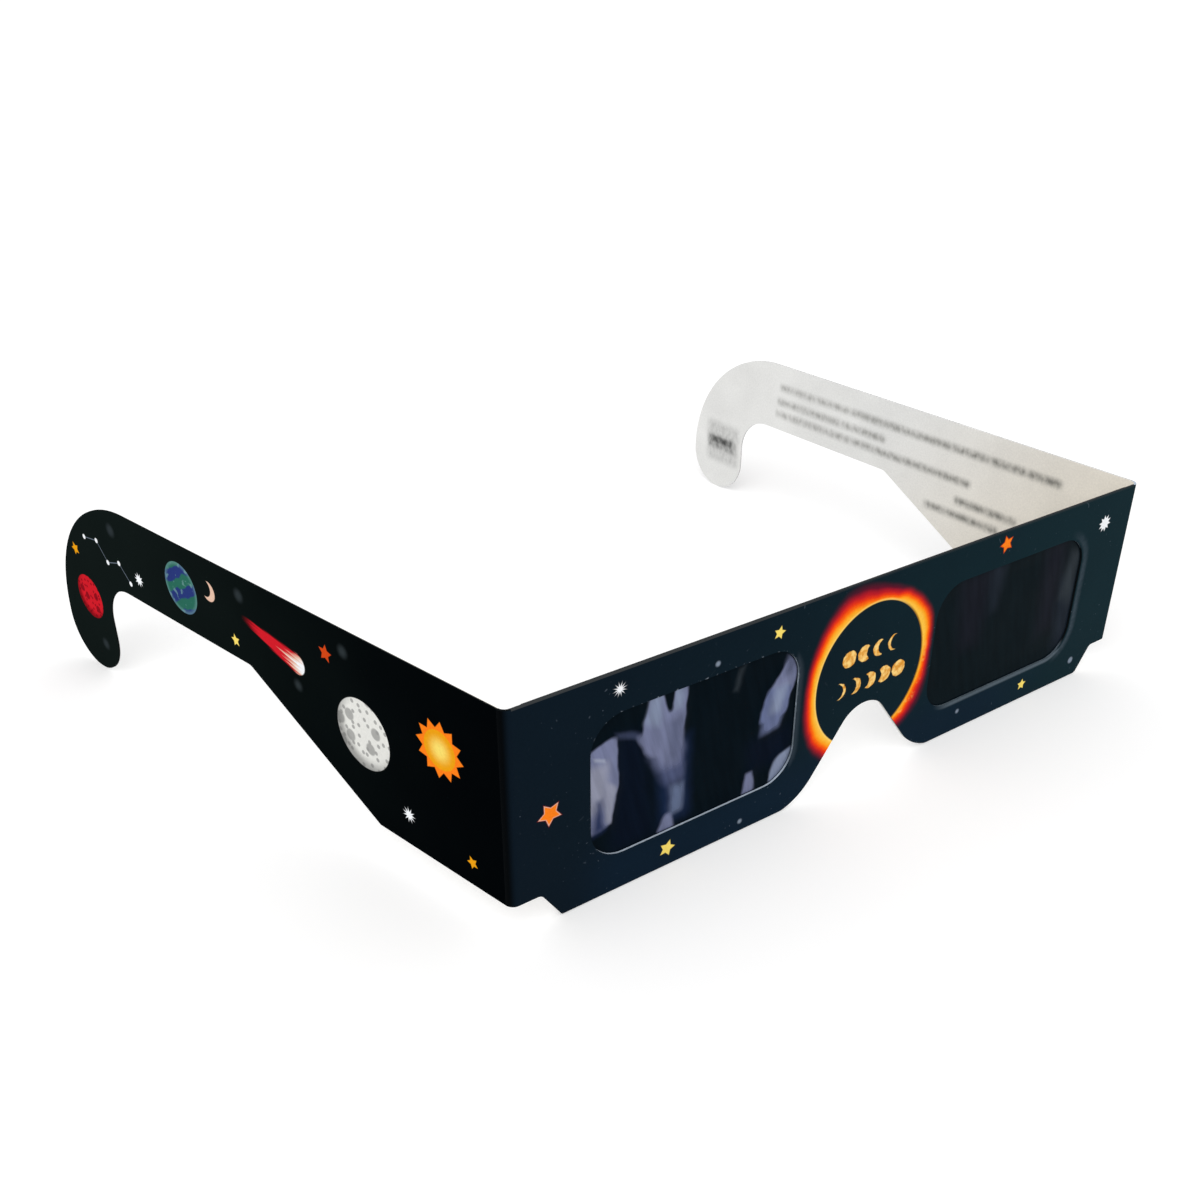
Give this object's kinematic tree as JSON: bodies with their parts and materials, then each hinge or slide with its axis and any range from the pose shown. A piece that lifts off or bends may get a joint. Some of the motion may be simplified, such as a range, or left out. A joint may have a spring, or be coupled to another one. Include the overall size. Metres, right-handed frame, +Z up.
{
  "type": "eclipse glasses",
  "caption": "Flat card eclipse glasses with dark film lenses, a nose notch, and fold-back card arms ending in ear hooks.",
  "frame": {"origin": "on the front face, in the middle of the bridge and half way up the front", "axes": "+X across the face to the wearer's left, +Y from the front face back towards the wearer, +Z up"},
  "size_m": [0.1702, 0.1276, 0.0388],
  "materials": {
    "printed_card": "navy print with a satin coat on white board",
    "plain_card": "uncoated white board",
    "solar_film": "glossy black polymer film",
    "glue": "dried glue"
  },
  "bodies": {
    "front": {"front_panel": "printed_card", "back_panel": "plain_card", "glue_layer": "glue", "right_lens_film": "solar_film", "left_lens_film": "solar_film", "right_bottom_fold": "printed_card", "left_bottom_fold": "printed_card", "right_crease": "printed_card", "left_crease": "printed_card"},
    "right_arm": {"right_temple": "printed_card"},
    "left_arm": {"left_temple": "printed_card"}
  },
  "joints": [
    {"name": "right_arm_fold", "type": "hinge", "parent": "front", "child": "right_arm", "pos_m": [-0.0684, 0.0016, 0], "axis": [0, 0, -1], "range_deg": [-76, 103.9], "deforming": ["right_crease"]},
    {"name": "left_arm_fold", "type": "hinge", "parent": "front", "child": "left_arm", "pos_m": [0.0684, 0.0016, 0], "axis": [0, 0, 1], "range_deg": [-91.5, 84.4], "deforming": ["left_crease"]}
  ]
}
